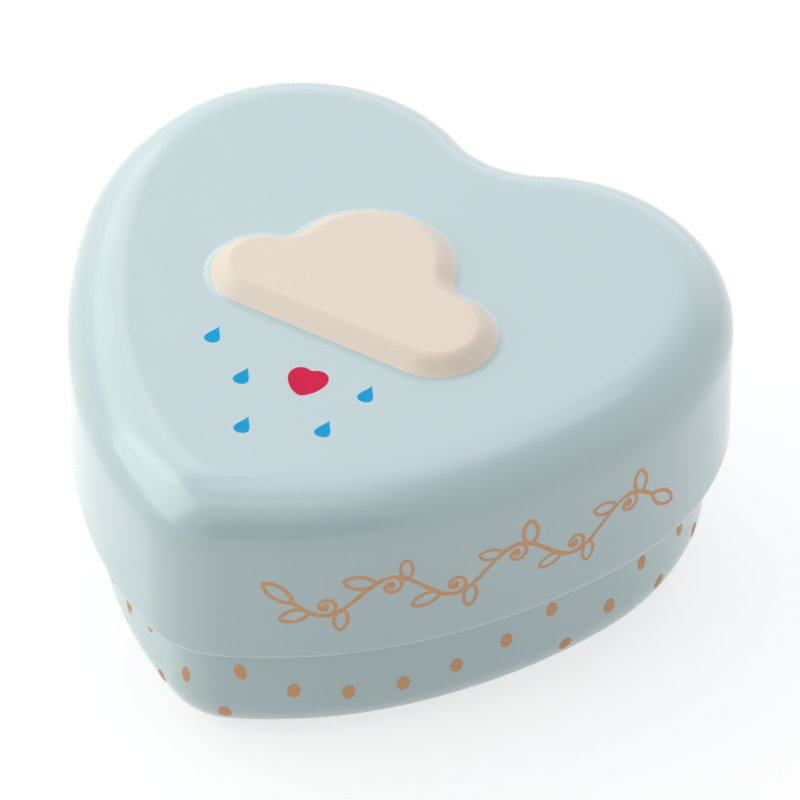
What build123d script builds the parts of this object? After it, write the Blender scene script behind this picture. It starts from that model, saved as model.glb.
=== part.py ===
from build123d import *
import os
from math import acos, atan2, copysign, cos, degrees, radians, sin, sqrt

# Heart-shaped keepsake tin in drawn tinplate: a base tray and a deep lid that slips over it.
# Millimetres. Z is up, the heart's tip points to -Y and its cleft to +Y.
# The origin is under the middle of the heart's box, on the surface that the tin stands on.

# Lid outline seen from above, a chain of tangent arcs from the cleft round one lobe to the tip
heart_width = 70.0
cleft_radius = 10.3
lobe_radius = 20.2
side_radius = 29.7
flank_radius = 65.5
nose_radius = 50.5
tip_radius = 10.3
# Where the arcs meet, in degrees above or below the widest point
lobe_angle = 15.6
flank_angle = 19.5
nose_angle = 41.9

# Tinplate with its lacquer, and the tightest corner that it is drawn round, seen from above
sheet = 0.3
tightest_corner = 0.8
# How far round a free edge is rolled, in degrees
curl_turn = 270.0
# How many flats make up each bend, few so that the tin's facets stay light
curl_flat_count = 6
shoulder_flat_count = 5
bottom_flat_count = 4
cloud_flat_count = 2
panel_flat_count = 1

# Base tray
base_height = 34.2
base_curl = 1.8
base_bottom_radius = 6.8
# Panel pressed up under the base, so that the tin stands on a ring
stand_width = 1.2
panel_rise = 0.6
panel_round = 0.6
panel_foot = 0.5
panel_tip_radius = 3.0

# Lid, which slides over the base and stops where its shoulder meets the base's curl
lid_height = 20.8
lid_shoulder_radius = 6.1
lid_curl = 2.2
lid_clearance = 0.3
seat_gap = 0.05

# Cloud pressed up out of the lid's top: three round bumps on a straight foot
cloud_y = -6.2
cloud_left_x = -10.6
cloud_left_radius = 6.2
cloud_top_x = -1.4
cloud_top_y = 12.0
cloud_top_radius = 9.8
cloud_right_x = 9.8
cloud_right_radius = 7.0
cloud_valley_radius = 1.8
cloud_rise = 1.8
cloud_round = 2.2
cloud_foot = 1.2

# Centres of the heart's arcs on the +X side, the same for every heart set inwards
side_x = heart_width / 2 - side_radius
lobe_x = side_x + (side_radius - lobe_radius) * cos(radians(lobe_angle))
lobe_y = (side_radius - lobe_radius) * sin(radians(lobe_angle))
cleft_y = lobe_y + sqrt((lobe_radius + cleft_radius) ** 2 - lobe_x ** 2)
flank_x = side_x + (side_radius - flank_radius) * cos(radians(flank_angle))
flank_y = (flank_radius - side_radius) * sin(radians(flank_angle))
nose_x = flank_x + (flank_radius - nose_radius) * cos(radians(nose_angle))
nose_y = flank_y - (flank_radius - nose_radius) * sin(radians(nose_angle))
tip_y = nose_y - sqrt((nose_radius - tip_radius) ** 2 - nose_x ** 2)

# The widest point's Y, which puts the middle of the heart's length on the origin
widest_y = (tip_radius - tip_y - lobe_y - lobe_radius) / 2

# Round corners of the two drawings, limited by the heart's tip that they go round
base_inset = lid_curl + lid_clearance
base_corner = min(base_bottom_radius, tip_radius - base_inset - tightest_corner)
lid_shoulder = min(lid_shoulder_radius, tip_radius - tightest_corner)

# Where the lid sits: the flats inside its shoulder lie the seat gap away from the base's curl
flat_reach_share = cos(radians(90 / (2 * (shoulder_flat_count - 1))))
curl_across = max(lid_shoulder - base_inset - base_curl / 2, 0)
curl_reach = (lid_shoulder - sheet) * flat_reach_share - base_curl / 2 - seat_gap
shoulder_z = base_height - base_curl / 2 - sqrt(curl_reach ** 2 - curl_across ** 2)
lid_top = shoulder_z + lid_shoulder
lid_low = lid_top - lid_height


def arc(x, y, radius, start, end):
    """Arc about a centre in the heart's own coordinates, from one angle to another."""
    return CenterArc((x, y + widest_y), radius, start, end - start).edge()


def heart(inset, point_radius):
    """Outline of the heart set inwards, as one closed wire that starts at the widest point."""
    point_y = nose_y - sqrt((nose_radius - inset - point_radius) ** 2 - nose_x ** 2)
    cleft_angle = degrees(atan2(cleft_y - lobe_y, lobe_x))
    point_angle = degrees(atan2(nose_y - point_y, -nose_x))
    upper = arc(side_x, 0, side_radius - inset, 0, lobe_angle)
    lobe = arc(lobe_x, lobe_y, lobe_radius - inset, lobe_angle, 180 - cleft_angle)
    cleft = arc(0, cleft_y, cleft_radius + inset, -cleft_angle, cleft_angle - 180)
    point = arc(0, point_y, point_radius, point_angle - 180, -point_angle)
    nose = arc(nose_x, nose_y, nose_radius - inset, -point_angle, -nose_angle)
    flank = arc(flank_x, flank_y, flank_radius - inset, -nose_angle, -flank_angle)
    lower = arc(side_x, 0, side_radius - inset, -flank_angle, 0)
    left = [mirror(edge, about=Plane.YZ).edge() for edge in (lobe, upper, lower, flank, nose)]
    return Wire([upper, lobe, cleft, *left, point, nose, flank, lower])


def panel(inset):
    """Outline of the panel pressed up under the base, set inwards from its foot."""
    foot_inset = base_inset + base_corner + stand_width
    return heart(foot_inset + inset, panel_tip_radius - inset)


def touching(first, second, radius):
    """Centre of a valley that touches two bumps, on the left of the way between them."""
    step = second[0] - first[0]
    climb = second[1] - first[1]
    apart = sqrt(step ** 2 + climb ** 2)
    reach = first[2] + radius
    along = (apart ** 2 + reach ** 2 - (second[2] + radius) ** 2) / (2 * apart)
    aside = sqrt(reach ** 2 - along ** 2)
    x = first[0] + (step * along - climb * aside) / apart
    y = first[1] + (climb * along + step * aside) / apart
    return x, y


def bearing(centre, place):
    """Direction from one centre to another, in degrees from a right angle below +X."""
    angle = degrees(atan2(place[1] - centre[1], place[0] - centre[0]))
    return (angle + 90) % 360 - 90


def cloud(inset):
    """Outline of the cloud set inwards, from three bumps and the valleys between them."""
    left = (cloud_left_x, cloud_left_radius, cloud_left_radius)
    top = (cloud_top_x, cloud_top_y, cloud_top_radius)
    right = (cloud_right_x, cloud_right_radius, cloud_right_radius)
    left_valley = touching(left, top, cloud_valley_radius)
    right_valley = touching(top, right, cloud_valley_radius)
    left_end = bearing(left, left_valley)
    top_start = bearing(top, left_valley)
    top_end = bearing(top, right_valley)
    right_start = bearing(right, right_valley)
    valley_reach = cloud_valley_radius + inset
    edges = [
        Line((cloud_left_x, inset), (cloud_right_x, inset)),
        CenterArc(right[:2], cloud_right_radius - inset, -90, right_start + 90),
        CenterArc(right_valley, valley_reach, right_start + 180, top_end - right_start),
        CenterArc(top[:2], cloud_top_radius - inset, top_end, top_start - top_end),
        CenterArc(left_valley, valley_reach, top_start + 180, left_end - top_start),
        CenterArc(left[:2], cloud_left_radius - inset, left_end, 270 - left_end),
    ]
    return Wire([edge.edge() for edge in edges]).moved(Location((0, cloud_y, 0)))


def plate(outline, low, thickness):
    """Flat solid inside an outline."""
    return extrude(Pos(0, 0, low) * make_face(outline), thickness)


def carried_round(section):
    """Solid that a section, drawn with X outwards and Z up, leaves on its way round the heart."""
    upright = Plane(origin=(0, widest_y, 0), x_dir=(1, 0, 0), z_dir=(0, -1, 0))
    return sweep(upright * section, path=heart(0, tip_radius))


def bent(centre, radius, start, turn, flats):
    """Corners of the flats that make up a bend about a centre, from one angle through a turn."""
    angles = [radians(start + turn * step / flats) for step in range(flats + 1)]
    return [(centre[0] + radius * cos(angle), centre[1] + radius * sin(angle)) for angle in angles]


def rolled_sheet(wall_x, curl_z, curl, turn, corner_z, corner, bend, flats):
    """Section of a drawn wall: a rolled edge, the wall, and a corner, one sheet thick."""
    curl_centre = (wall_x - curl / 2, curl_z)
    corner_centre = (wall_x - corner, corner_z)
    rolled_edge = bent(curl_centre, curl / 2, 0, turn, curl_flat_count)
    wall_end = (wall_x - sheet, curl_z - copysign(curl / 2 - sheet, turn))
    inner_corner = bent(corner_centre, corner - sheet, 0, bend, flats - 1)
    outer_corner = bent(corner_centre, corner, bend, -bend, flats)
    return make_face(Polyline(*rolled_edge, wall_end, *inner_corner, *outer_corner, close=True))


def pressed(level, outline, rise, top_radius, foot_radius, flats):
    """Shape pressed up out of a flat sheet whose upper face is at a level, one sheet thick."""
    swing = degrees(acos(1 - rise / (top_radius + foot_radius)))
    width = (top_radius + foot_radius) * sin(radians(swing))
    foot = outline(0)
    start = foot @ 0
    inwards = Vector(0, 0, 1).cross(foot % 0)
    across = Plane(origin=(start.X, start.Y, 0), x_dir=inwards, z_dir=inwards.cross(Vector(0, 0, 1)))
    foot_centre = (0, level + foot_radius)
    top_centre = (width, level + rise - top_radius)
    foot_upper = bent(foot_centre, foot_radius, -90, swing, flats)
    top_upper = bent(top_centre, top_radius, 90 + swing, -swing, flats)
    top_lower = bent(top_centre, top_radius - sheet, 90, swing, flats)
    foot_lower = bent(foot_centre, foot_radius + sheet, swing - 90, -swing, flats)
    upper = foot_upper[:-1] + top_upper[1:]
    lower = top_lower[:-1] + foot_lower[1:]
    flank = sweep(across * make_face(Polyline(*upper, *lower, close=True)), path=foot)
    return flank + plate(outline(width), level + rise - sheet, sheet)


def make_lid():
    """Drawn lid: rolled edge, skirt, shoulder and flat top, with the cloud pressed up in it."""
    curl_z = lid_low + lid_curl / 2
    wall_x = heart_width / 2
    section = rolled_sheet(
        wall_x, curl_z, lid_curl, -curl_turn, shoulder_z, lid_shoulder, 90, shoulder_flat_count
    )
    top = plate(heart(lid_shoulder, tip_radius - lid_shoulder), lid_top - sheet, sheet)
    top -= plate(cloud(0), lid_top - sheet, sheet)
    top += pressed(lid_top, cloud, cloud_rise, cloud_round, cloud_foot, cloud_flat_count)
    return carried_round(section) + top


def make_base():
    """Drawn base: rolled rim, wall, round bottom edge, standing ring and raised panel."""
    curl_z = base_height - base_curl / 2
    wall_x = heart_width / 2 - base_inset
    ring_inset = base_inset + base_corner
    section = rolled_sheet(
        wall_x, curl_z, base_curl, curl_turn, base_corner, base_corner, -90, bottom_flat_count
    )
    floor = plate(heart(ring_inset, tip_radius - ring_inset), 0, sheet)
    floor -= plate(panel(0), 0, sheet)
    floor += pressed(sheet, panel, panel_rise, panel_round, panel_foot, panel_flat_count)
    return carried_round(section) + floor


os.makedirs("parts", exist_ok=True)
for name, piece in {"lid": make_lid(), "base": make_base()}.items():
    print(name, len(piece.solids()), round(piece.volume, 2), piece.bounding_box())
    export_step(piece, f"parts/{name}.step")
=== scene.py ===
from math import acos, atan2, cos, degrees, pi, radians, sin, sqrt, tau
import bpy
from mathutils import Matrix, Vector


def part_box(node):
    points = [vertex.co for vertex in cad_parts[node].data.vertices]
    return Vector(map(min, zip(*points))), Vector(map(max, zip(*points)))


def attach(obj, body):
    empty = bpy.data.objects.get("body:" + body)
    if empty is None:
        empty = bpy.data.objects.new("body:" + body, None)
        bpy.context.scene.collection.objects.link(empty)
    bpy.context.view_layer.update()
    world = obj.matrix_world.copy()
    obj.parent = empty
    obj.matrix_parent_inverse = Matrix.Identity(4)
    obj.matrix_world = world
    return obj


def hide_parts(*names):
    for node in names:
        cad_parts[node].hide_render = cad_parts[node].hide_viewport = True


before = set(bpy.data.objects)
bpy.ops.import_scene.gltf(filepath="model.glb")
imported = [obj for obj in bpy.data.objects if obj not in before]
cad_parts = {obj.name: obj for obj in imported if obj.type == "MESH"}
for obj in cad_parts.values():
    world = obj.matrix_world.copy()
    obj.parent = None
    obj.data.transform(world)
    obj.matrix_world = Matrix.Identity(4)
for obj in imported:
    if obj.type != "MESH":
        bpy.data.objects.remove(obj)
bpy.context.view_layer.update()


# Camera. A long lens stands to the right of the heart's tip and looks down on the lid, so the
# tin is seen almost without perspective. The camera is aimed past the middle of the heart's
# width line and then slid sideways and up until the tin fills the picture as it should.
camera_turn = radians(31.289)
camera_rise = radians(43.128)
camera_distance = 0.83136
slide_left, slide_up = 0.00058931, 0.01011665
widest_line_y = 0.010954
picture_width = 0.0850715
sensor_width = 36


def placed(name, data):
    """An object for a mesh, a lamp or a camera, put in the scene."""
    made = bpy.data.objects.new(name, data)
    bpy.context.collection.objects.link(made)
    return made


across = Vector((cos(camera_turn), sin(camera_turn), 0))
backwards = Vector((
    sin(camera_turn) * cos(camera_rise), -cos(camera_turn) * cos(camera_rise), sin(camera_rise)
))
upwards = backwards.cross(across)
aim = Vector((0, widest_line_y, 0)) - across * slide_left + upwards * slide_up
lens = bpy.data.cameras.new("long_lens")
lens.sensor_width = sensor_width
lens.lens = sensor_width * camera_distance / picture_width
lens.clip_start, lens.clip_end = 0.05, 40
camera = placed("camera", lens)
camera.matrix_world = Matrix((across, upwards, backwards)).transposed().to_4x4()
camera.location = aim + backwards * camera_distance
bpy.context.scene.camera = camera
bpy.context.scene.view_settings.view_transform = "Standard"


# Lid. The real one is a single sheet of printed tinplate, drawn into a deep heart-shaped cap.
# Its top is flat inside a big round shoulder, its free edge is rolled inwards, and the cloud on
# it was pressed up through the sheet in the same press.
lid_width = 0.070
lid_height = 0.0208
lid_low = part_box("lid")[0].z
lid_top = lid_low + lid_height
sheet = 0.0003
shoulder = 0.0061
lid_roll = 0.0011
roll_turn = radians(300)
cleft_radius = 0.0103
tip_radius = 0.0103
hair = 0.00001
cloud_rise, cloud_round, cloud_foot = 0.00176, 0.0022, 0.0012
crown_shares = (0.15, 0.4, 0.65, 0.85, 0.96)
round_points = 400
sharp_angle = radians(50)
lacquer_blue = (0.483, 0.646, 0.66)
# The pale tone along the rolled edges: partly rubbed lacquer, partly a painted highlight of the
# edge.
scuffed_and_highlit_blue = (0.72, 0.74, 0.72)
tin_dark, tin_light = (0.58, 0.57, 0.535), (0.67, 0.66, 0.615)


def arc(x, y, radius, start, end, facing=1):
    """One arc of an outline from above: its length, and its point and outward ray at a share."""
    def at(share):
        """The point and the outward ray at a share of the arc."""
        angle = radians(start + (end - start) * share)
        ray = Vector((cos(angle), sin(angle), 0))
        return Vector((x, y, 0)) + ray * radius, ray * facing

    return radius * abs(radians(end - start)), at


def straight(x, y, length, towards):
    """A straight stretch of an outline, with the outline's inside on its right."""
    along = Vector((cos(radians(towards)), sin(radians(towards)), 0))
    outward = Vector((-along.y, along.x, 0))
    return length, lambda share: (Vector((x, y, 0)) + along * length * share, outward)


def walked(chain, points):
    """Points spaced evenly along a chain, clockwise from above, each with its outward ray."""
    whole = sum(length for length, at in chain)
    found = []
    for step in range(points):
        left = whole * step / points
        for length, at in chain:
            if left <= length:
                found.append(at(left / length))
                break
            left -= length
    return found


def heart_chain(inset, tip):
    """The tin's heart from its cleft clockwise, set inwards: arcs that run into each other."""
    lobe, side, flank, nose = 0.0202, 0.0297, 0.0655, 0.0505
    lobe_angle, flank_angle, nose_angle = 15.6, 19.5, 41.9
    side_x = lid_width / 2 - side
    lobe_x = side_x + (side - lobe) * cos(radians(lobe_angle))
    lobe_y = (side - lobe) * sin(radians(lobe_angle))
    cleft_y = lobe_y + sqrt((lobe + cleft_radius) ** 2 - lobe_x ** 2)
    flank_x = side_x + (side - flank) * cos(radians(flank_angle))
    flank_y = (flank - side) * sin(radians(flank_angle))
    nose_x = flank_x + (flank - nose) * cos(radians(nose_angle))
    nose_y = flank_y - (flank - nose) * sin(radians(nose_angle))
    tip_y = nose_y - sqrt((nose - inset - tip) ** 2 - nose_x ** 2)
    cleft_angle = degrees(atan2(cleft_y - lobe_y, lobe_x))
    tip_angle = degrees(atan2(nose_y - tip_y, -nose_x))
    right = [
        (0, cleft_y, cleft_radius + inset, -90, -cleft_angle, -1),
        (lobe_x, lobe_y, lobe - inset, 180 - cleft_angle, lobe_angle, 1),
        (side_x, 0, side - inset, lobe_angle, -flank_angle, 1),
        (flank_x, flank_y, flank - inset, -flank_angle, -nose_angle, 1),
        (nose_x, nose_y, nose - inset, -nose_angle, -tip_angle, 1),
        (0, tip_y, tip, -tip_angle, -90, 1),
    ]
    left = [(-x, y, radius, 180 - end, 180 - start, facing)
            for x, y, radius, start, end, facing in right[::-1]]
    return [arc(x, y + widest_line_y, *rest) for x, y, *rest in right + left]


def cloud_chain():
    """The cloud from the crown of its top bump: three bumps, two valleys and a straight foot."""
    foot_y, valley = -0.0062, 0.0018
    left_radius, top_radius, right_radius = 0.0062, 0.0098, 0.0070
    left = Vector((-0.0106, foot_y + left_radius)), left_radius
    top = Vector((-0.0014, foot_y + 0.0120)), top_radius
    right = Vector((0.0098, foot_y + right_radius)), right_radius

    def valley_between(first, second):
        """Middle of the small arc that touches two bumps from outside."""
        gap = second[0] - first[0]
        reach, other = first[1] + valley, second[1] + valley
        along = (gap.length_squared + reach ** 2 - other ** 2) / (2 * gap.length)
        aside = sqrt(reach ** 2 - along ** 2)
        return first[0] + (gap * along + Vector((-gap.y, gap.x)) * aside) / gap.length

    def bearing(centre, place):
        """Direction from one middle to another, in degrees from a right angle below +X."""
        return (degrees(atan2(place.y - centre.y, place.x - centre.x)) + 90) % 360 - 90

    left_valley, right_valley = valley_between(left, top), valley_between(top, right)
    left_end, top_start = bearing(left[0], left_valley), bearing(top[0], left_valley)
    top_end, right_start = bearing(top[0], right_valley), bearing(right[0], right_valley)
    return [
        arc(*top[0], top_radius, 90, top_end),
        arc(*right_valley, valley, top_end + 180, right_start + 180, -1),
        arc(*right[0], right_radius, right_start, -90),
        straight(right[0].x, foot_y, right[0].x - left[0].x, 180),
        arc(*left[0], left_radius, 270, left_end),
        arc(*left_valley, valley, left_end - 180, top_start - 180, -1),
        arc(*top[0], top_radius, top_start, 90),
    ]


def ring(outline, inset, height):
    """The outline set inwards and lifted to a height."""
    return [point - outward * inset + Vector((0, 0, height)) for point, outward in outline]


def between(first, last, steps):
    """Rings that run straight from one ring to another, closer together near both ends."""
    shares = [(1 - cos(pi * step / steps)) / 2 for step in range(1, steps)]
    return [[a.lerp(b, share) for a, b in zip(first, last)] for share in shares]


def closing_in(middle, rim, shares):
    """Rings inside a rim, each at a share of the way from a middle point to it."""
    return [[middle.lerp(point, share) for point in rim] for share in shares]


def swept(one_ring, radius, first, last, steps):
    """Rings of a bend, from one angle to another."""
    return [one_ring(radius, first + (last - first) * step / steps) for step in range(steps + 1)]


def meshed(name, points, faces, edges=()):
    """A mesh made from its points, faces and loose edges, as an object in the scene."""
    mesh = bpy.data.meshes.new(name)
    mesh.from_pydata(points, edges, faces)
    return placed(name, mesh)


def skin(name, rings):
    """A shell laid over a run of rings, with a middle point closing each end of the run."""
    count = len(rings[0])
    points = [point for one in rings for point in one]
    points += [sum(rings[end], Vector()) / count for end in (0, -1)]
    first_middle, last_middle = len(points) - 2, len(points) - 1
    last_ring = count * (len(rings) - 1)
    faces = []
    for low in range(0, last_ring, count):
        for step in range(count):
            after = (step + 1) % count
            faces.append((low + step, low + after, low + count + after, low + count + step))
    faces += [(first_middle, (step + 1) % count, step) for step in range(count)]
    faces += [(last_middle, last_ring + step, last_ring + (step + 1) % count)
              for step in range(count)]
    made = meshed(name, points, faces)
    made.data.shade_smooth()
    made.data.set_sharp_from_angle(angle=sharp_angle)
    return made


def pressed_width(rise, top_round, foot_round):
    """How far in from its foot a shape pressed up out of the sheet reaches its full rise."""
    return (top_round + foot_round) * sin(acos(1 - rise / (top_round + foot_round)))


def pressed_height(inset, rise, width):
    """How far a pressed shape with sides of a width has risen at an inset from its foot."""
    share = min(max(inset / width, 0), 1)
    return rise * share ** 2 * (3 - 2 * share)


heart = walked(heart_chain(hair, tip_radius - hair), round_points)
cloud = walked(cloud_chain(), round_points)
cloud_flank = pressed_width(cloud_rise, cloud_round, cloud_foot)
flank_steps = 20
cloud_insets = [cloud_flank * (1 - cos(pi * step / flank_steps)) / 2
                for step in range(flank_steps + 1)]


def cloud_ring(inset, level):
    """One ring over the cloud's flank, above a level."""
    return ring(cloud, inset, level + pressed_height(inset, cloud_rise, cloud_flank))


def shoulder_ring(radius, angle):
    """One ring of the lid's round shoulder, whose top edge is at no angle."""
    height = lid_top - shoulder + radius * cos(angle)
    return ring(heart, shoulder - radius * sin(angle), height)


def lid_roll_ring(radius, angle):
    """One ring of the lid's rolled edge, about the middle of the roll."""
    height = lid_low + lid_roll + radius * sin(angle)
    return ring(heart, lid_roll - radius * cos(angle), height)


flank_rings = [cloud_ring(inset, lid_top) for inset in cloud_insets]
cloud_middle = sum((point for point, outward in cloud), Vector()) / round_points
crown = Vector((cloud_middle.x, cloud_middle.y, lid_top + cloud_rise))
crown_rings = closing_in(crown, flank_rings[-1], crown_shares)
shoulder_rings = swept(shoulder_ring, shoulder, 0, pi / 2, steps=18)
roll_rings = swept(lid_roll_ring, lid_roll, 0, -roll_turn, steps=20)
plateau_rings = between(flank_rings[0], shoulder_rings[0], steps=12)
skirt_rings = between(shoulder_rings[-1], roll_rings[0], steps=7)
lid_outside = (crown_rings + flank_rings[::-1] + plateau_rings + shoulder_rings + skirt_rings
               + roll_rings)

inner_roll = swept(lid_roll_ring, lid_roll - sheet, -roll_turn, 0, steps=12)
inner_shoulder = swept(shoulder_ring, shoulder - sheet, pi / 2, 0, steps=10)
under_flank = [cloud_ring(inset, lid_top - sheet) for inset in cloud_insets[::2]]
under_crown = closing_in(crown - Vector((0, 0, sheet)), under_flank[-1], (0.9, 0.6, 0.3))
lid_inside = inner_roll + between(inner_roll[-1], inner_shoulder[0], steps=4) + inner_shoulder
lid_inside += between(inner_shoulder[-1], under_flank[0], steps=8) + under_flank + under_crown
lid = skin("lid_shell", lid_outside + lid_inside)


def add(tree, kind, settings=None, **inputs):
    """One node, with its settings and its inputs, a value or another node's output each."""
    made = tree.nodes.new(kind)
    for key, value in (settings or {}).items():
        setattr(made, key, value)
    for key, value in inputs.items():
        if key[1:].isdigit():
            socket = made.inputs[int(key[1:])]
        else:
            label = key.replace("_", " ").lower()
            socket = next(one for one in made.inputs if one.enabled and one.name.lower() == label)
        if isinstance(value, bpy.types.NodeSocket):
            tree.links.new(value, socket)
        else:
            socket.default_value = value
    return made


def math(tree, operation, *values):
    """One step of arithmetic in a node tree."""
    numbered = {f"_{place}": value for place, value in enumerate(values)}
    return add(tree, "ShaderNodeMath", {"operation": operation}, **numbered).outputs[0]


def weighed(tree, share, first, second):
    """Two numbers mixed by a share."""
    mix = add(tree, "ShaderNodeMix", {"data_type": "FLOAT"}, Factor=share, A=first, B=second)
    return mix.outputs[0]


def blended(tree, share, first, second, way="MIX"):
    """Two colours mixed by a share."""
    first, second = [(*end, 1) if isinstance(end, tuple) else end for end in (first, second)]
    settings = {"data_type": "RGBA", "blend_type": way}
    return add(tree, "ShaderNodeMix", settings, Factor=share, A=first, B=second).outputs[2]


def ranged(tree, value, taken, given, way="LINEAR"):
    """A value carried from one range to another, and held inside it."""
    return add(tree, "ShaderNodeMapRange", {"interpolation_type": way}, Value=value,
               From_Min=taken[0], From_Max=taken[1], To_Min=given[0], To_Max=given[1]).outputs[0]


def on_object(tree):
    """The place on the object that a pattern is drawn at."""
    return add(tree, "ShaderNodeTexCoord").outputs["Object"]


def noise(tree, place, **values):
    """Soft noise at a place, as a number round about a half."""
    return add(tree, "ShaderNodeTexNoise", Vector=place, **values).outputs["Fac"]


def group(name, kind, inputs, outputs):
    """An empty node group: (name, type, value) for each input, (name, type) for each output."""
    tree = bpy.data.node_groups.new(name, kind)
    for label, form, value in inputs:
        socket = tree.interface.new_socket(label, in_out="INPUT", socket_type="NodeSocket" + form)
        if value is not None:
            socket.default_value = value
    for label, form in outputs:
        tree.interface.new_socket(label, in_out="OUTPUT", socket_type="NodeSocket" + form)
    return tree, tree.nodes.new("NodeGroupInput").outputs, tree.nodes.new("NodeGroupOutput").inputs


def put(tree, name, **inputs):
    """The outputs of a shader node group that is placed in a material."""
    settings = {"node_tree": bpy.data.node_groups[name]}
    return add(tree, "ShaderNodeGroup", settings, **inputs).outputs


def lacquer_skin():
    """Baked lacquer: a faint orange peel, long soft waves, uneven gloss, a slightly uneven tone."""
    tree, given, out = group("lacquer_skin", "ShaderNodeTree", [
        ("Peel Scale", "Float", 750.0), ("Wave Scale", "Float", 45.0), ("Wave Share", "Float", 0.5),
        ("Low Gloss", "Float", 0.30), ("High Gloss", "Float", 0.42), ("Tone Change", "Float", 0.02),
    ], [("Tone", "Float"), ("Roughness", "Float"), ("Height", "Float")])
    place = on_object(tree)
    peel = noise(tree, place, Scale=given["Peel Scale"], Detail=2.0)
    wave = noise(tree, place, Scale=given["Wave Scale"], Detail=1.0)
    patches = noise(tree, place, Scale=170.0, Detail=4.0)
    height = weighed(tree, given["Wave Share"], peel, wave)
    gloss = ranged(tree, patches, (0.3, 0.7), (given["Low Gloss"], given["High Gloss"]))
    swing = math(tree, "SUBTRACT", patches, 0.5)
    tone = math(tree, "MULTIPLY_ADD", swing, given["Tone Change"], 1.0)
    tree.links.new(tone, out["Tone"])
    tree.links.new(gloss, out["Roughness"])
    tree.links.new(height, out["Height"])


def scuffed_and_highlit_edge():
    """Where handling has thinned the lacquer, with a painted highlight of the rolled edge in the
    same place: a broken lighter line along a level edge.
    """
    tree, given, out = group("scuffed_and_highlit_edge", "ShaderNodeTree", [
        ("Edge Height", "Float", 0.0), ("Reach", "Float", 0.0006), ("Amount", "Float", 0.5),
    ], [("Mask", "Float")])
    place = on_object(tree)
    level = add(tree, "ShaderNodeSeparateXYZ", Vector=place).outputs["Z"]
    away = math(tree, "ABSOLUTE", math(tree, "SUBTRACT", level, given["Edge Height"]))
    near = ranged(tree, away, (given["Reach"], 0.0), (0.0, 1.0), "SMOOTHSTEP")
    broken = noise(tree, place, Scale=420.0, Detail=5.0, Roughness=0.7)
    # The broken lighter line: partly rubbed wear, partly a painted highlight of the edge.
    scuff_and_highlight_mask = ranged(tree, broken, (0.48, 0.66), (0.0, given["Amount"]))
    tree.links.new(math(tree, "MULTIPLY", near, scuff_and_highlight_mask), out["Mask"])


def shaded(name, colour, metallic=0.0, roughness=0.3, varnish=0.0):
    """A new material with one shader under clear varnish: its node tree, its shader and itself."""
    material = bpy.data.materials.new(name)
    material.use_nodes = True
    shader = material.node_tree.nodes["Principled BSDF"]
    shader.inputs["Base Color"].default_value = (*colour, 1)
    shader.inputs["Metallic"].default_value = metallic
    shader.inputs["Roughness"].default_value = roughness
    shader.inputs["Specular IOR Level"].default_value = 0.5 + varnish / 2
    shader.inputs["Coat Weight"].default_value = varnish
    shader.inputs["Coat Roughness"].default_value = 0.12
    return material.node_tree, shader, material


def finished(tree, shader, tone, gloss, relief=None, strength=0.35, depth=0.000012):
    """A shader fed with its tone, its gloss and the fine relief of its surface."""
    tree.links.new(tone, shader.inputs["Base Color"])
    tree.links.new(gloss, shader.inputs["Roughness"])
    if relief is not None:
        bump = add(tree, "ShaderNodeBump", Strength=strength, Distance=depth, Height=relief)
        tree.links.new(bump.outputs["Normal"], shader.inputs["Normal"])


def lacquered(name, colour, edge_height, scuff_and_highlight_amount):
    """Pale lacquer baked on tinplate, lightened along the rolled edge at a height by rubbed wear
    and a painted highlight.
    """
    tree, shader, material = shaded(name, colour, varnish=1.0)
    surface = put(tree, "lacquer_skin")
    scuff_and_highlight_mask = put(tree, "scuffed_and_highlit_edge", Edge_Height=edge_height, Amount=scuff_and_highlight_amount)["Mask"]
    tinted = blended(tree, 1.0, colour, surface["Tone"], "MULTIPLY")
    # The rolled edge is painted lighter: rubbed wear and a painted highlight of the edge.
    scuffed_and_highlit_lacquer = blended(tree, scuff_and_highlight_mask, tinted, scuffed_and_highlit_blue)
    finished(tree, shader, scuffed_and_highlit_lacquer, surface["Roughness"], surface["Height"])
    return material


def bare_tin():
    """Tinplate under clear lacquer, with the fine lines of its rolling along one direction."""
    tree, shader, material = shaded("bare_tinplate", (0.62, 0.61, 0.57), metallic=0.8)
    place = on_object(tree)
    drawn_out = add(tree, "ShaderNodeMapping", Vector=place, Scale=(60.0, 2600.0, 2600.0))
    lines = noise(tree, drawn_out.outputs[0], Scale=1.0, Detail=3.0)
    patches = noise(tree, place, Scale=130.0, Detail=3.0)
    gloss = ranged(tree, math(tree, "MULTIPLY", lines, patches), (0.1, 0.4), (0.26, 0.42))
    tone = blended(tree, lines, tin_dark, tin_light)
    finished(tree, shader, tone, gloss, lines, strength=0.3, depth=0.00001)
    return material


def two_faced(shell, lacquer, lacquered_strips):
    """A shell with lacquer on some of its strips of faces and bare tinplate on the others."""
    shell.data.materials.append(lacquer)
    shell.data.materials.append(tin)
    for face in shell.data.polygons:
        face.material_index = 0 if face.index // round_points in lacquered_strips else 1


lacquer_skin()
scuffed_and_highlit_edge()
tin = bare_tin()
first_fan = len(lid_outside + lid_inside) - 1
# The lid's rolled lower edge is painted lighter in a broken line: rubbed wear and a painted
# highlight.
two_faced(lid, lacquered("lid_lacquer", lacquer_blue, edge_height=lid_low + sheet, scuff_and_highlight_amount=0.5),
          {*range(len(lid_outside) - 1), first_fan})
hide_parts("lid")
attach(lid, "lid")


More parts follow.
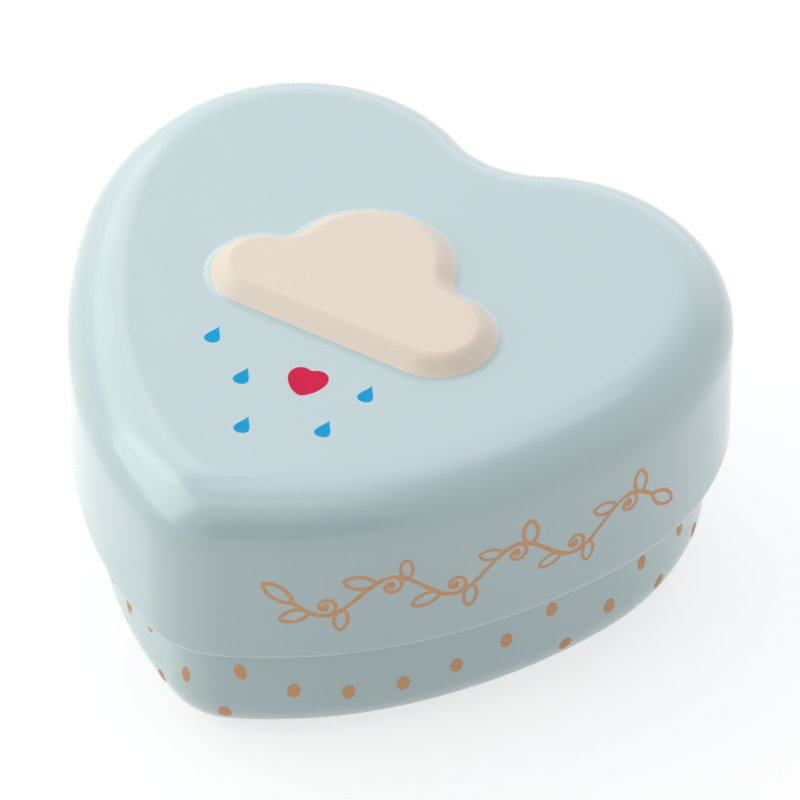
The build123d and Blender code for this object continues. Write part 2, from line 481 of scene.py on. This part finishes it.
# Base. A second drawn sheet, a little smaller than the lid, so that it slides up into it. Its
# rim is rolled inwards, its bottom edge is round, and a panel pressed up under it leaves a narrow
# ring for the tin to stand on.
base_inset = 0.0025
base_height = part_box("base")[1].z
base_round = 0.0068
base_roll = 0.0009
floor_inset = base_inset + base_round
stand_ring = 0.0012
panel_rise, panel_round, panel_foot = 0.0006, 0.0006, 0.0005
panel_tip = 0.0030
panel_steps = 8
panel_shares = (0.2, 0.5, 0.8, 0.97)
panel_flank = pressed_width(panel_rise, panel_round, panel_foot)
panel_insets = [panel_flank * step / panel_steps for step in range(panel_steps + 1)]
panel_middle = Vector((0, 0.004, panel_rise))


def panel_ring(inset, level):
    """One ring over the flank of the raised panel, above a level."""
    chain = heart_chain(floor_inset + stand_ring + inset, panel_tip - inset)
    height = level + pressed_height(inset, panel_rise, panel_flank)
    return ring(walked(chain, round_points), 0, height)


def rim_ring(radius, angle):
    """One ring of the base's rolled rim, about the middle of the roll."""
    height = base_height - base_roll + radius * sin(angle)
    return ring(heart, base_inset + base_roll - radius * cos(angle), height)


def bottom_ring(radius, angle):
    """One ring of the base's round bottom edge, whose wall is at no angle."""
    return ring(heart, floor_inset - radius * cos(angle), base_round - radius * sin(angle))


panel_top = [panel_ring(inset, sheet) for inset in panel_insets[::-1]]
middle_top = closing_in(panel_middle + Vector((0, 0, sheet)), panel_top[0], panel_shares)
inner_corner = swept(bottom_ring, base_round - sheet, pi / 2, 0, steps=12)
inner_rim = swept(rim_ring, base_roll - sheet, 0, roll_turn, steps=12)
base_inside = middle_top + panel_top + between(panel_top[-1], inner_corner[0], steps=3)
base_inside += inner_corner + between(inner_corner[-1], inner_rim[0], steps=6) + inner_rim

outer_rim = swept(rim_ring, base_roll, roll_turn, 0, steps=20)
outer_corner = swept(bottom_ring, base_round, 0, pi / 2, steps=16)
panel_under = [panel_ring(inset, 0) for inset in panel_insets]
middle_under = closing_in(panel_middle, panel_under[-1], panel_shares[::-1])
base_outside = outer_rim + between(outer_rim[-1], outer_corner[0], steps=8) + outer_corner
base_outside += between(outer_corner[-1], panel_under[0], steps=3) + panel_under + middle_under
base = skin("base_shell", base_inside + base_outside)

last_fan = len(base_inside + base_outside)
# The base's rolled rim is painted lighter in a broken line: rubbed wear and a painted highlight.
two_faced(base, lacquered("base_lacquer", lacquer_blue, edge_height=base_height, scuff_and_highlight_amount=0.35),
          {*range(len(base_inside), last_fan - 1), last_fan})
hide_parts("base")
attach(base, "base")


# Cream print on the cloud. A film of enamel printed on the flat sheet before it was pressed, so
# it rides up over the cloud's edge and stops a little inside its foot, slightly off to one side.
ink = 0.00002
print_margin = 0.0008
print_slip = Vector((0.00014, -0.00008, 0))
film_steps = 18
cream_tint = (0.885, 0.768, 0.632)


def over_cloud(index, inset, lift):
    """A point over the cloud's upper face, at an inset from its foot and a lift off the sheet."""
    point, outward = cloud[index]
    height = pressed_height(inset, cloud_rise, cloud_flank)
    slope = (pressed_height(inset + hair, cloud_rise, cloud_flank) - height) / hair
    up = (outward * slope + Vector((0, 0, 1))).normalized()
    return point - outward * inset + Vector((0, 0, lid_top + height)) + up * lift


def film_ring(share, lift):
    """One ring of the film, from its edge at share 0 to the top of the cloud's flank at share 1."""
    return [over_cloud(index, edge + (cloud_flank - edge) * share, lift)
            for index, edge in enumerate(print_edges)]


def film_crown(lift):
    """The crown's rings at a lift off the sheet, from its middle outwards."""
    return [[point + Vector((0, 0, lift)) for point in one] for one in crown_rings]


print_edges = [print_margin - print_slip.dot(outward) for point, outward in cloud]
film_shares = [step / film_steps for step in range(film_steps + 1)]
film_top = film_crown(ink) + [film_ring(share, ink) for share in film_shares[::-1]]
film_under = [film_ring(share, -ink) for share in film_shares] + film_crown(-ink)[::-1]
cream = skin("cloud_print", film_top + film_under)
tree, shader, cream_enamel = shaded("cream_enamel", cream_tint, roughness=0.42, varnish=0.3)
surface = put(tree, "lacquer_skin", Peel_Scale=620.0, Low_Gloss=0.38, High_Gloss=0.5,
              Tone_Change=0.05)
tinted = blended(tree, 1.0, cream_tint, surface["Tone"], "MULTIPLY")
finished(tree, shader, tinted, surface["Roughness"], surface["Height"])
cream.data.materials.append(cream_enamel)
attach(cream, "lid")


# Rain printed under the cloud. Blue drops and one small red heart, flat spots of ink on the lid's
# plateau, each a closed film that lies on the lacquer.
drop_length = 0.0026
drop_lean = radians(8)
drop_taper = 2.2
drop_points = 48
drop_places = [(-0.0098, -0.0105), (-0.0040, -0.0142), (0.0082, -0.0100), (-0.0001, -0.0203),
               (0.0072, -0.0166)]
rain_heart_place = Vector((0.0020, -0.0118, 0))
rain_heart_width = 0.0042
rain_heart_lean = radians(12)
rain_blue, rain_red = (0.005, 0.42, 0.80), (0.79, 0.015, 0.085)


def spots(name, outlines, height, material):
    """Flat films of ink, one for each outline, at a height."""
    points, faces = [], []
    for outline in outlines:
        start, count = len(points), len(outline)
        middle = sum(outline, Vector()) / count
        for lift in (ink, -ink):
            points += [point + Vector((0, 0, height + lift)) for point in outline]
        points += [middle + Vector((0, 0, height + lift)) for lift in (ink, -ink)]
        top, bottom = start + 2 * count, start + 2 * count + 1
        for step in range(count):
            here, after = start + step, start + (step + 1) % count
            faces += [(top, after, here), (here, after, count + after, count + here),
                      (bottom, count + here, count + after)]
    made = meshed(name, points, faces)
    made.data.materials.append(material)
    return made


def drop(x, y):
    """A falling drop, round below and pointed above, clockwise from its point."""
    turn = Matrix.Rotation(drop_lean, 3, "Z")
    line = []
    for step in range(drop_points):
        angle = tau * step / drop_points
        wide = drop_length / 2 * sin(angle) * sin(angle / 2) ** drop_taper
        long = drop_length / 2 * cos(angle)
        line.append(Vector((x, y, 0)) + turn @ Vector((wide, long, 0)))
    return line


def small_heart():
    """The tin's own heart made small, from every fifth of its points."""
    turn = Matrix.Rotation(rain_heart_lean, 3, "Z")
    return [rain_heart_place + turn @ (point * rain_heart_width / lid_width)
            for point, outward in heart[::5]]


def printed_ink(name, colour):
    """Ink printed on the lacquer, a little uneven in tone."""
    tree, shader, material = shaded(name, colour, roughness=0.4)
    shader.inputs["Specular IOR Level"].default_value = 0.08
    surface = put(tree, "lacquer_skin", Peel_Scale=900.0, Low_Gloss=0.3, High_Gloss=0.42,
                  Tone_Change=0.25)
    tinted = blended(tree, 1.0, colour, surface["Tone"], "MULTIPLY")
    finished(tree, shader, tinted, surface["Roughness"])
    return material


drops = [drop(x, y) for x, y in drop_places]
rain = spots("rain_drops", drops, lid_top, printed_ink("blue_ink", rain_blue))
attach(rain, "lid")
sweet = spots("rain_heart", [small_heart()], lid_top, printed_ink("red_ink", rain_red))
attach(sweet, "lid")


# Gold dots on the base. Copper-gold ink in staggered rows, printed on the flat sheet before the
# base was drawn from it, so the dots follow the wall down round its bottom edge and are drawn
# longer than wide.
gold_dark, gold_light = (0.47, 0.24, 0.11), (0.63, 0.36, 0.185)
dot_width, dot_length = 0.00074, 0.00088
dot_spacing = 0.006164
dot_rows = 27
dot_turn = radians(44.26)
dot_slip = (-0.000616, 0.000185, 0)
first_row = 0.0076
rim_margin = 0.003


def flat_path(name, outline, filled):
    """A path for a node tree to follow: an outline as a loop of edges, or filled as one face."""
    points = ring(outline, 0, 0)
    count = len(points)
    loop = [(step, (step + 1) % count) for step in range(count)]
    face = tuple(range(count))[::-1]
    return meshed(name, points, [face] if filled else [], [] if filled else loop)


def gold_ink():
    """Copper-gold metallic ink: fine flakes that catch the light unevenly."""
    tree, shader, material = shaded("gold_ink", (0.52, 0.28, 0.14), metallic=0.75, roughness=0.42)
    place = on_object(tree)
    flakes = add(tree, "ShaderNodeTexVoronoi", Vector=place, Scale=9000.0).outputs["Distance"]
    clumps = noise(tree, place, Scale=2200.0, Detail=3.0)
    tone = blended(tree, clumps, gold_dark, gold_light)
    gloss = ranged(tree, flakes, (0.0, 0.8), (0.34, 0.52))
    finished(tree, shader, tone, gloss, flakes, strength=0.25, depth=0.00001)
    return material


def vector_math(tree, operation, *values):
    """One step of arithmetic on vectors in a node tree."""
    slots = (0, 3) if operation == "SCALE" else (0, 1)
    numbered = {f"_{slot}": value for slot, value in zip(slots, values)}
    made = add(tree, "ShaderNodeVectorMath", {"operation": operation}, **numbered)
    return made.outputs[1 if operation in ("DISTANCE", "DOT_PRODUCT") else 0]


def xyz(tree, **parts):
    """A vector in a node tree, from those of its X, Y and Z that are not nought."""
    return add(tree, "ShaderNodeCombineXYZ", **parts).outputs[0]


def turned_along(tree, axis, direction):
    """The turn about Z that points an axis of a flat shape in a direction."""
    return add(tree, "FunctionNodeAlignRotationToVector", {"axis": axis, "pivot_axis": "Z"},
               Vector=direction).outputs[0]


def wrapped(tree, flat, on_wall, ink_given):
    """A flat print carried to its place on a wall, facing outwards, and given its ink."""
    carried = add(tree, "GeometryNodeSetPosition", Geometry=flat.outputs[0], Position=on_wall)
    outwards = add(tree, "GeometryNodeFlipFaces", Mesh=carried.outputs[0])
    return add(tree, "GeometryNodeSetMaterial", Geometry=outwards.outputs[0],
               Material=ink_given).outputs[0]


def laid_by(path, tree, values, name, body):
    """Lays a node tree's print along a path, as one plain mesh that rides on a body."""
    laying = path.modifiers.new(name, "NODES")
    laying.node_group = tree
    for item in tree.interface.items_tree:
        if item.item_type == "SOCKET" and item.in_out == "INPUT" and item.name in values:
            laying[item.identifier] = values[item.name]
    view = bpy.context.evaluated_depsgraph_get()
    mesh = bpy.data.meshes.new_from_object(path.evaluated_get(view))
    path.modifiers.remove(laying)
    bpy.data.objects.remove(path)
    mesh.name = name
    mesh.shade_smooth()
    mesh.set_sharp_from_angle(angle=sharp_angle)
    made = placed(name, mesh)
    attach(made, body)


def dotted_wall():
    """Dots on a flat sheet in diagonal rows, carried over a round corner and up a wall."""
    tree, given, out = group("dotted_wall", "GeometryNodeTree", [
        ("Floor", "Geometry", None), ("Spacing", "Float", 0.006), ("Turn", "Float", 0.79),
        ("Slip", "Vector", (0, 0, 0)), ("Dot Size", "Vector", (1, 1, 1)),
        ("Corner", "Float", 0.007), ("Stretch", "Float", 1.05), ("Tip", "Vector", (0, 0, 0)),
        ("Tip Stretch", "Float", 0.1), ("Tip Reach", "Float", 0.003),
        ("Cleft", "Vector", (0, 0, 0)), ("Cleft Radius", "Float", 0.02),
        ("Bare Reach", "Float", 0.002), ("First Row", "Float", 0.007),
        ("Wall Height", "Float", 0.03), ("Ink", "Material", None),
    ], [("Dots", "Geometry")])
    place = add(tree, "GeometryNodeInputPosition").outputs[0]
    bend = math(tree, "MULTIPLY", given["Corner"], pi / 2)
    whole = math(tree, "ADD", bend, given["Wall Height"])

    def nearest(point):
        """The nearest place on the floor to a point of the flat sheet."""
        return add(tree, "GeometryNodeProximity", {"target_element": "FACES"},
                   Geometry=given["Floor"], Sample_Position=point)

    def drawn_length(near):
        """How far up the drawn wall a point lies, from how far off the floor it lay when flat."""
        off_tip = vector_math(tree, "DISTANCE", near.outputs["Position"], given["Tip"])
        share = math(tree, "POWER", math(tree, "DIVIDE", off_tip, given["Tip Reach"]), 2.0)
        fade = math(tree, "EXPONENT", math(tree, "MULTIPLY", share, -1.0))
        stretch = math(tree, "MULTIPLY_ADD", fade, given["Tip Stretch"], given["Stretch"])
        return math(tree, "MULTIPLY", near.outputs["Distance"], stretch)

    size = math(tree, "MULTIPLY", given["Spacing"], float(dot_rows - 1))
    sheet_points = add(tree, "GeometryNodeMeshGrid", Size_X=size, Size_Y=size,
                       Vertices_X=dot_rows, Vertices_Y=dot_rows)
    turn = add(tree, "FunctionNodeAxisAngleToRotation", Axis=(0, 0, 1), Angle=given["Turn"])
    laid_out = add(tree, "GeometryNodeTransform", Geometry=sheet_points.outputs["Mesh"],
                   Translation=given["Slip"], Rotation=turn.outputs[0])
    near = nearest(place)
    drawn = drawn_length(near)
    too_low = math(tree, "LESS_THAN", drawn, given["First Row"])
    too_high = math(tree, "GREATER_THAN", drawn, whole)
    from_cleft = vector_math(tree, "SUBTRACT", place, given["Cleft"])
    off_cleft = add(tree, "ShaderNodeSeparateXYZ", Vector=from_cleft).outputs
    beside = math(tree, "LESS_THAN", math(tree, "ABSOLUTE", off_cleft["X"]), given["Bare Reach"])
    past = math(tree, "GREATER_THAN", math(tree, "ADD", off_cleft["Y"], given["Bare Reach"]), 0.0)
    in_strip = math(tree, "MULTIPLY", beside, past)
    left_out = math(tree, "ADD", math(tree, "ADD", too_low, too_high), in_strip)
    kept = add(tree, "GeometryNodeDeleteGeometry", {"domain": "POINT"},
               Geometry=laid_out.outputs[0], Selection=left_out)

    dot = add(tree, "GeometryNodeMeshCylinder", {"fill_type": "TRIANGLE_FAN"}, Vertices=28,
              Side_Segments=1, Fill_Segments=3, Radius=1.0, Depth=2.0)
    away = vector_math(tree, "SUBTRACT", place, near.outputs["Position"])
    edge_off = vector_math(tree, "DISTANCE", near.outputs["Position"], given["Cleft"])
    just_over = math(tree, "MULTIPLY", given["Cleft Radius"], 1.001)
    in_cleft = math(tree, "LESS_THAN", edge_off, just_over)
    dot_off = vector_math(tree, "DISTANCE", place, given["Cleft"])
    gathered = math(tree, "DIVIDE", dot_off, given["Cleft Radius"])
    narrowed = xyz(tree, X=weighed(tree, in_cleft, 1.0, gathered), Y=1.0, Z=1.0)
    dots = add(tree, "GeometryNodeInstanceOnPoints", Points=kept.outputs[0],
               Instance=dot.outputs["Mesh"], Rotation=turned_along(tree, "Y", away),
               Scale=vector_math(tree, "MULTIPLY", given["Dot Size"], narrowed))
    flat = add(tree, "GeometryNodeRealizeInstances", Geometry=dots.outputs[0])

    lift = add(tree, "ShaderNodeSeparateXYZ", Vector=place).outputs["Z"]
    foot = vector_math(tree, "MULTIPLY", place, (1, 1, 0))
    closest = nearest(foot)
    off_floor = vector_math(tree, "SUBTRACT", foot, closest.outputs["Position"])
    outward = vector_math(tree, "NORMALIZE", off_floor)
    run = drawn_length(closest)
    angle = math(tree, "DIVIDE", math(tree, "MINIMUM", run, bend), given["Corner"])
    up_wall = math(tree, "MAXIMUM", math(tree, "SUBTRACT", run, bend), 0.0)
    radius = math(tree, "ADD", given["Corner"], lift)
    reach = math(tree, "MULTIPLY", math(tree, "SINE", angle), radius)
    below = math(tree, "MULTIPLY", math(tree, "COSINE", angle), radius)
    level = math(tree, "ADD", math(tree, "SUBTRACT", given["Corner"], below), up_wall)
    spread = vector_math(tree, "ADD", closest.outputs["Position"],
                         vector_math(tree, "SCALE", outward, reach))
    on_wall = vector_math(tree, "ADD", spread, xyz(tree, Z=level))
    tree.links.new(wrapped(tree, flat, on_wall, given["Ink"]), out["Dots"])
    return tree


gold = gold_ink()
base_floor = walked(heart_chain(floor_inset, tip_radius - floor_inset), round_points)
laid_by(flat_path("base_floor", base_floor, True), dotted_wall(), {
    "Spacing": dot_spacing, "Turn": dot_turn, "Slip": dot_slip,
    "Dot Size": (dot_width, dot_length, ink), "Corner": base_round, "Stretch": 1.073,
    "Tip": min((point for point, outward in base_floor), key=lambda point: point.y),
    "Tip Stretch": 0.158, "Tip Reach": 0.00261,
    "Cleft": base_floor[0][0] + Vector((0, cleft_radius + floor_inset, 0)),
    "Cleft Radius": cleft_radius + floor_inset, "Bare Reach": 0.0022,
    "First Row": first_row, "Wall Height": base_height - base_round - rim_margin, "Ink": gold,
}, "gold_dots", "base")


# Gold garland on the lid. A waving stem with a curled tendril in every bend and open leaves on
# the outside of it, drawn in the same ink with a fine flat pen, round the right of the skirt.
def pen_line(tree, curve, width, depth, pressure=1.0):
    """A line drawn along a flat curve with a flat nib."""
    level = add(tree, "GeometryNodeSetCurveNormal", {"mode": "Z_UP"}, Curve=curve)
    nib = add(tree, "GeometryNodeCurvePrimitiveQuadrilateral", {"mode": "RECTANGLE"}, Width=width,
              Height=depth)
    return add(tree, "GeometryNodeCurveToMesh", Curve=level.outputs[0],
               Profile_Curve=nib.outputs[0], Scale=pressure, Fill_Caps=True).outputs[0]


def garland():
    """A drawn garland of so many waves, laid along a wall."""
    tree, given, out = group("garland", "GeometryNodeTree", [
        ("Wall", "Geometry", None), ("Start", "Float", 0.05), ("Wave", "Float", 0.015),
        ("Waves", "Int", 3), ("Rise", "Float", 0.002), ("Level", "Float", 0.023),
        ("Stem Width", "Float", 0.0004), ("Fine Width", "Float", 0.0003),
        ("Leaf Length", "Float", 0.003), ("Leaf Width", "Float", 0.0014),
        ("Leaf Turn", "Float", 0.9), ("Curl", "Float", 0.0011), ("Berry", "Float", 0.0004),
        ("Ink Depth", "Float", 0.00004), ("Ink", "Material", None),
    ], [("Garland", "Geometry")])
    wave, depth, fine = given["Wave"], given["Ink Depth"], given["Fine Width"]
    length = math(tree, "MULTIPLY", wave, given["Waves"])
    half_wave = math(tree, "DIVIDE", wave, 2.0)
    quarter = math(tree, "DIVIDE", wave, 4.0)
    half_waves = math(tree, "MULTIPLY", given["Waves"], 2.0)
    place = add(tree, "GeometryNodeInputPosition").outputs[0]
    at = add(tree, "ShaderNodeSeparateXYZ", Vector=place).outputs
    phase = math(tree, "MULTIPLY", math(tree, "DIVIDE", at["X"], wave), tau)
    swing = math(tree, "MULTIPLY", math(tree, "SINE", phase), given["Rise"])
    steepness = math(tree, "MULTIPLY", math(tree, "DIVIDE", given["Rise"], wave), tau)
    slope = math(tree, "MULTIPLY", math(tree, "COSINE", phase), steepness)
    up_or_down = math(tree, "SIGN", swing)
    lifted = xyz(tree, Y=swing)
    along = xyz(tree, X=1.0, Y=slope)

    line = add(tree, "GeometryNodeCurvePrimitiveLine", End=xyz(tree, X=length))
    line = add(tree, "GeometryNodeResampleCurve", Curve=line.outputs[0], Count=260)
    waving = add(tree, "GeometryNodeSetPosition", Geometry=line.outputs[0], Offset=lifted)
    uneven = noise(tree, place, Scale=700.0, Detail=1.0)
    pressure = math(tree, "MULTIPLY_ADD", uneven, 0.7, 0.6)
    stem = pen_line(tree, waving.outputs[0], given["Stem Width"], depth, pressure)

    oval = add(tree, "GeometryNodeCurvePrimitiveCircle", Resolution=28, Radius=1.0)
    half_length = math(tree, "DIVIDE", given["Leaf Length"], 2.0)
    half_width = math(tree, "DIVIDE", given["Leaf Width"], 2.0)
    leaf_x = math(tree, "MULTIPLY", math(tree, "ADD", at["X"], 1.0), half_length)
    thinned = math(tree, "POWER", math(tree, "ABSOLUTE", at["Y"]), 0.35)
    leaf_y = math(tree, "MULTIPLY", math(tree, "MULTIPLY", at["Y"], thinned), half_width)
    leaf_line = add(tree, "GeometryNodeSetPosition", Geometry=oval.outputs[0],
                    Position=xyz(tree, X=leaf_x, Y=leaf_y))
    leaf = pen_line(tree, leaf_line.outputs[0], fine, depth)
    growth = add(tree, "FunctionNodeRandomValue", {"data_type": "FLOAT"}, Min=0.85, Max=1.1,
                 Seed=7).outputs["Value"]

    buds = add(tree, "GeometryNodeMeshLine", Count=math(tree, "MULTIPLY", half_waves, 2.0),
               Start_Location=xyz(tree, X=math(tree, "DIVIDE", quarter, 2.0)),
               Offset=xyz(tree, X=quarter))
    buds = add(tree, "GeometryNodeSetPosition", Geometry=buds.outputs[0], Offset=lifted)
    leaf_turn = math(tree, "MULTIPLY", up_or_down, given["Leaf Turn"])
    outwards = add(tree, "ShaderNodeVectorRotate", {"rotation_type": "Z_AXIS"}, Vector=along,
                   Angle=leaf_turn).outputs[0]
    leaves = add(tree, "GeometryNodeInstanceOnPoints", Points=buds.outputs[0], Instance=leaf,
                 Rotation=turned_along(tree, "X", outwards),
                 Scale=xyz(tree, X=growth, Y=growth, Z=1.0))

    tips = add(tree, "GeometryNodeMeshLine", Count=2, Offset=xyz(tree, X=length))
    index = add(tree, "GeometryNodeInputIndex").outputs[0]
    onwards = vector_math(tree, "SCALE", along, math(tree, "MULTIPLY_ADD", index, 2.0, -1.0))
    tip_leaves = add(tree, "GeometryNodeInstanceOnPoints", Points=tips.outputs[0], Instance=leaf,
                     Rotation=turned_along(tree, "X", onwards), Scale=(1.3, 1.05, 1.0))

    curl_end = math(tree, "MULTIPLY", given["Curl"], 0.3)
    curl = add(tree, "GeometryNodeCurveSpiral", Resolution=26, Rotations=1.1,
               Start_Radius=given["Curl"], End_Radius=curl_end, Height=0.0, Reverse=True)
    tendril = add(tree, "GeometryNodeTransform", Rotation=(0, 0, pi / 2),
                  Geometry=pen_line(tree, curl.outputs[0], fine, depth))
    berry = add(tree, "GeometryNodeMeshCylinder", {"fill_type": "TRIANGLE_FAN"}, Vertices=20,
                Side_Segments=1, Fill_Segments=1, Radius=given["Berry"], Depth=depth)
    fruit = add(tree, "GeometryNodeJoinGeometry")
    for piece in (tendril.outputs[0], berry.outputs["Mesh"]):
        tree.links.new(piece, fruit.inputs[0])
    bends = add(tree, "GeometryNodeMeshLine", Count=half_waves,
                Start_Location=xyz(tree, X=quarter), Offset=xyz(tree, X=half_wave))
    curl_rise = math(tree, "MULTIPLY", up_or_down, given["Curl"])
    into_bend = xyz(tree, Y=math(tree, "SUBTRACT", swing, curl_rise))
    bends = add(tree, "GeometryNodeSetPosition", Geometry=bends.outputs[0], Offset=into_bend)
    half_turn = math(tree, "MULTIPLY", math(tree, "LESS_THAN", at["Y"], 0.0), pi)
    over = add(tree, "FunctionNodeAxisAngleToRotation", Axis=(1, 0, 0), Angle=half_turn)
    tendrils = add(tree, "GeometryNodeInstanceOnPoints", Points=bends.outputs[0],
                   Instance=fruit.outputs[0], Rotation=over.outputs[0])

    joined = add(tree, "GeometryNodeJoinGeometry")
    for piece in (stem, leaves.outputs[0], tip_leaves.outputs[0], tendrils.outputs[0]):
        tree.links.new(piece, joined.inputs[0])
    flat = add(tree, "GeometryNodeRealizeInstances", Geometry=joined.outputs[0])
    wall = add(tree, "GeometryNodeMeshToCurve", Mesh=given["Wall"])
    under = add(tree, "GeometryNodeSampleCurve", {"mode": "LENGTH"}, Curves=wall.outputs[0],
                Length=math(tree, "ADD", given["Start"], at["X"])).outputs
    sideways = vector_math(tree, "CROSS_PRODUCT", (0, 0, 1), under["Tangent"])
    outward = vector_math(tree, "NORMALIZE", sideways)
    risen = xyz(tree, Z=math(tree, "ADD", given["Level"], at["Y"]))
    on_wall = vector_math(tree, "ADD", vector_math(tree, "ADD", under["Position"], risen),
                          vector_math(tree, "SCALE", outward, at["Z"]))
    tree.links.new(wrapped(tree, flat, on_wall, given["Ink"]), out["Garland"])
    return tree


laid_by(flat_path("lid_wall", heart, False), garland(), {
    "Start": 0.0568, "Wave": 0.0136, "Waves": 3, "Rise": 0.0021, "Level": 0.0232,
    "Stem Width": 0.00050, "Fine Width": 0.00039, "Leaf Length": 0.0030, "Leaf Width": 0.0015,
    "Leaf Turn": radians(50), "Curl": 0.00126, "Berry": 0.00040, "Ink Depth": 2 * ink,
    "Ink": gold,
}, "gold_garland", "lid")


# Studio. A white table that keeps a soft shadow, in a pale room that is brighter at the back and
# darker behind the camera. The main lamp stands at the front left, with weaker ones behind on the
# left, overhead, over the front and on the right.
table_reach = 6
table_tone, table_tone_seen = (0.80, 0.80, 0.80), (0.45, 0.45, 0.45)
table_glow_mirrored, table_glow_seen = 0.44, 0.685
room_light = 0.25
room_white, room_dark = (1, 1, 1), (0.43, 0.47, 0.51)
tin_middle = Vector((0, 0, 0.02))

corners = [(-table_reach, -table_reach, 0), (table_reach, -table_reach, 0),
           (table_reach, table_reach, 0), (-table_reach, table_reach, 0)]
table = meshed("table", corners, [(0, 1, 2, 3)])


def by_camera(tree):
    """Whether a ray comes straight from the camera."""
    return add(tree, "ShaderNodeLightPath").outputs["Is Camera Ray"]


def seen_directly(tree):
    """Whether a ray shows the room or the table itself, straight or in a reflection."""
    rays = add(tree, "ShaderNodeLightPath").outputs
    straight_or_mirrored = math(tree, "MAXIMUM", rays["Is Camera Ray"], rays["Is Glossy Ray"])
    return math(tree, "MAXIMUM", straight_or_mirrored, rays["Is Transmission Ray"])


tree, shader, white = shaded("white_table", table_tone, roughness=0.9)
shader.inputs["Specular IOR Level"].default_value = 0.0
camera_ray = by_camera(tree)
tree.links.new(blended(tree, camera_ray, table_tone, table_tone_seen), shader.inputs["Base Color"])
glow = weighed(tree, camera_ray, table_glow_mirrored, table_glow_seen)
glowing = add(tree, "ShaderNodeEmission", Color=(1, 1, 1, 1),
              Strength=math(tree, "MULTIPLY", seen_directly(tree), glow))
both = add(tree, "ShaderNodeAddShader", _0=shader.outputs[0], _1=glowing.outputs[0])
tree.links.new(both.outputs[0], tree.nodes["Material Output"].inputs["Surface"])
table.data.materials.append(white)


def soft_lamp(name, place, width, height, watts, tint=(1, 1, 1)):
    """A soft lamp with a broad face that looks at the tin."""
    lamp = bpy.data.lights.new(name, "AREA")
    lamp.shape = "RECTANGLE"
    lamp.size, lamp.size_y, lamp.energy, lamp.color = width, height, watts, tint
    made = placed(name, lamp)
    made.location = place
    made.rotation_mode = "QUATERNION"
    made.rotation_quaternion = (Vector(place) - tin_middle).to_track_quat("Z", "Y")
    return made


soft_lamp("overhead_lamp", (0.0, 0.4, 0.95), 1.4, 1.1, watts=0.7, tint=(0.88, 0.78, 1.22))
soft_lamp("top_lamp", (0.0, 0.2, 1.0), 0.6, 0.7, watts=1.02, tint=(0.97, 0.94, 1.06))
soft_lamp("front_lamp", (0.1, -0.35, 0.93), 0.8, 0.3, watts=0.52)
soft_lamp("back_left_lamp", (-0.85, 0.25, 0.75), 1.1, 0.9, watts=2.6, tint=(1.04, 1.0, 0.96))
soft_lamp("front_left_lamp", (-0.85, -0.65, 0.6), 1.3, 1.3, watts=7.4, tint=(1.01, 1.01, 0.97))
right_lamp = soft_lamp("right_lamp", (0.9, 0.4, 0.36), 0.9, 0.7, watts=2.0, tint=(1.0, 1.01, 0.97))
right_lamp.visible_glossy = False


def room_side(tree, side, start, end, amount):
    """A soft patch on one side of the room: its amount in the middle, nothing outside it."""
    towards = add(tree, "ShaderNodeTexCoord").outputs["Generated"]
    facing = vector_math(tree, "DOT_PRODUCT", towards, side)
    return ranged(tree, facing, (start, end), (0.0, amount), "SMOOTHSTEP")


room = bpy.data.worlds.new("room")
room.use_nodes = True
bpy.context.scene.world = room
tree = room.node_tree
camera_ray = by_camera(tree)
bright_back = room_side(tree, (-0.50, 0.85, 0.15), start=0.45, end=0.95, amount=0.49)
dark_front = room_side(tree, (0.51, -0.84, 0.18), start=0.85, end=0.95, amount=1.0)
evenly = ranged(tree, seen_directly(tree), (0.0, 1.0), (room_light, 1.0))
lit = weighed(tree, camera_ray, math(tree, "ADD", evenly, bright_back), 1.0)
unlit = math(tree, "MULTIPLY", dark_front, math(tree, "SUBTRACT", 1.0, camera_ray))
walls = blended(tree, unlit, room_white, room_dark)
tree.links.new(lit, tree.nodes["Background"].inputs["Strength"])
tree.links.new(walls, tree.nodes["Background"].inputs["Color"])
